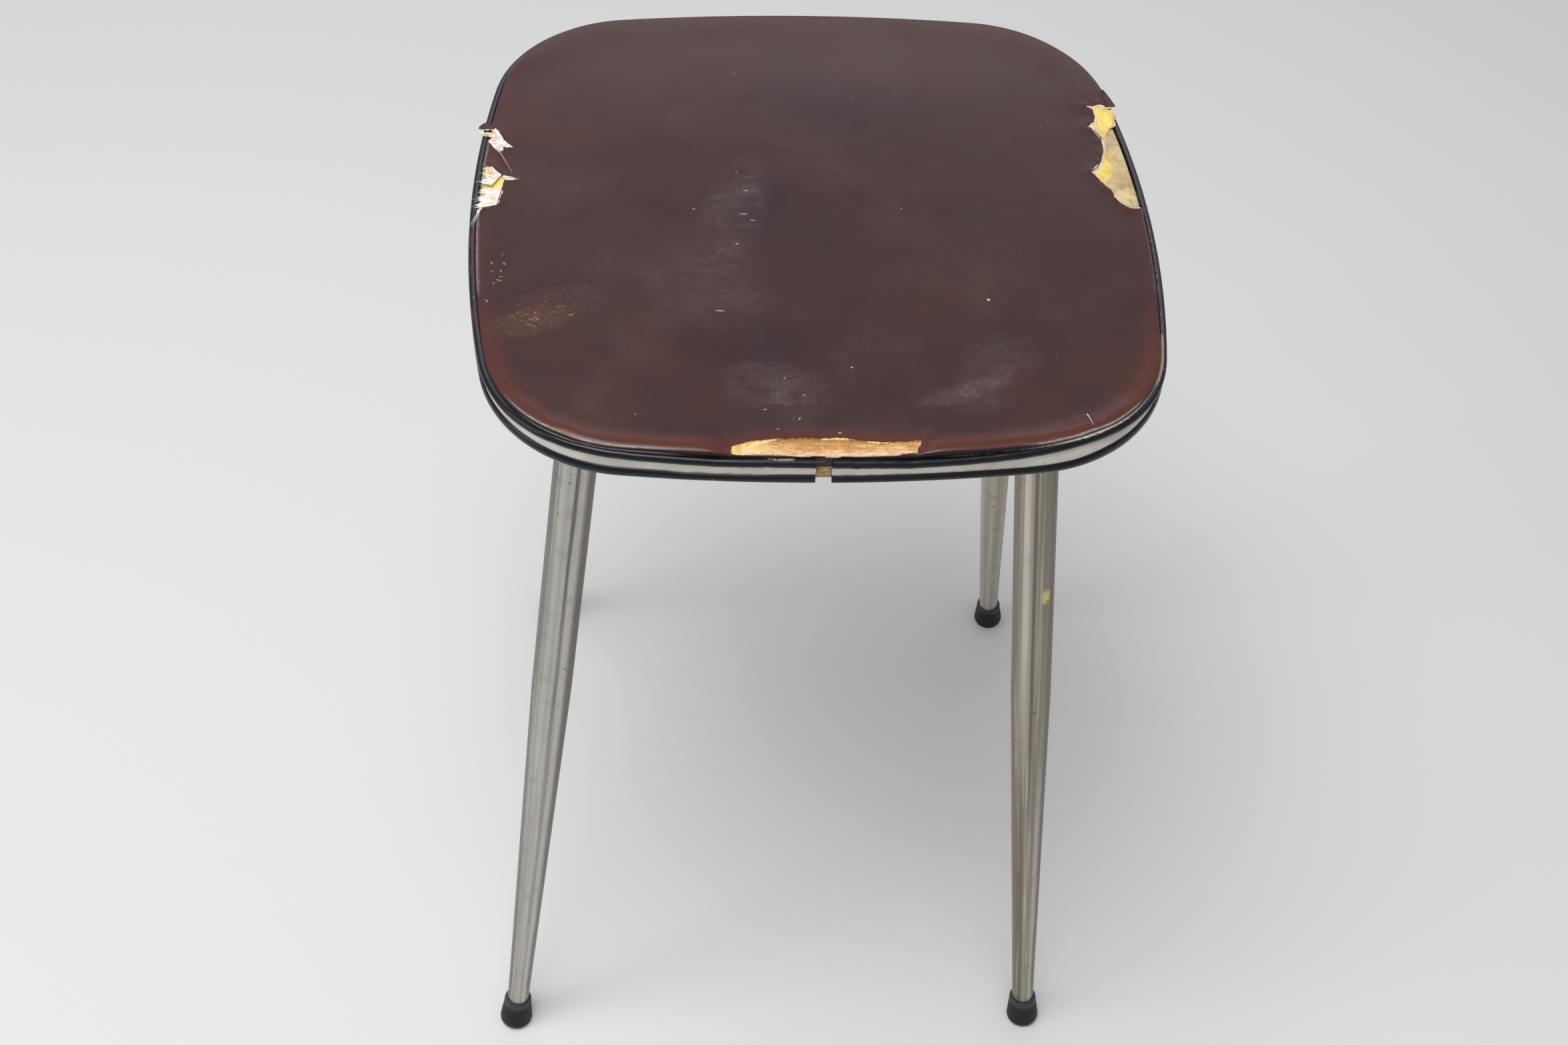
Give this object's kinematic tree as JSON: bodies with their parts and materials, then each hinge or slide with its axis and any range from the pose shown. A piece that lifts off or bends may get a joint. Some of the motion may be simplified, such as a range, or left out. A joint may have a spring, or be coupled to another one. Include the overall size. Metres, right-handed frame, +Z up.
{
  "type": "four-legged stool",
  "caption": "Low stool with a padded rounded-square vinyl seat, banded edge trim and splayed tapered metal legs on rubber feet.",
  "frame": {"origin": "on the floor, under the middle of the stool", "axes": "+Z up from the floor to the seat; -Y the front, where the two ends of the edge trim meet; +X to the sitter's right hand when facing the front from outside"},
  "size_m": [0.3177, 0.3142, 0.476],
  "materials": {
    "chipboard": "rough",
    "foam": "matt",
    "vinyl": "satin",
    "black_trim": "glossy",
    "pale_trim": "matt",
    "fasteners": "satin",
    "plated_steel": "satin",
    "leg_plating": "worn bright plating",
    "foot_rubber": "matt"
  },
  "bodies": {
    "root": {"seat_board": "chipboard", "foam_pad": "foam", "vinyl_cover": "vinyl", "cover_staples": "fasteners", "trim_carrier": "black_trim", "trim_strip": "pale_trim", "trim_pins": "fasteners", "plate_screws": "fasteners", "front_left_plate": "plated_steel", "front_left_bush": "plated_steel", "front_left_stud": "fasteners", "front_left_plug": "plated_steel", "front_left_leg": "leg_plating", "front_left_cap": "foot_rubber", "front_left_washer": "fasteners", "front_right_plate": "plated_steel", "front_right_bush": "plated_steel", "front_right_stud": "fasteners", "front_right_plug": "plated_steel", "front_right_leg": "leg_plating", "front_right_cap": "foot_rubber", "front_right_washer": "fasteners", "rear_left_plate": "plated_steel", "rear_left_bush": "plated_steel", "rear_left_stud": "fasteners", "rear_left_plug": "plated_steel", "rear_left_leg": "leg_plating", "rear_left_cap": "foot_rubber", "rear_left_washer": "fasteners", "rear_right_plate": "plated_steel", "rear_right_bush": "plated_steel", "rear_right_stud": "fasteners", "rear_right_plug": "plated_steel", "rear_right_leg": "leg_plating", "rear_right_cap": "foot_rubber", "rear_right_washer": "fasteners"}
  },
  "joints": []
}
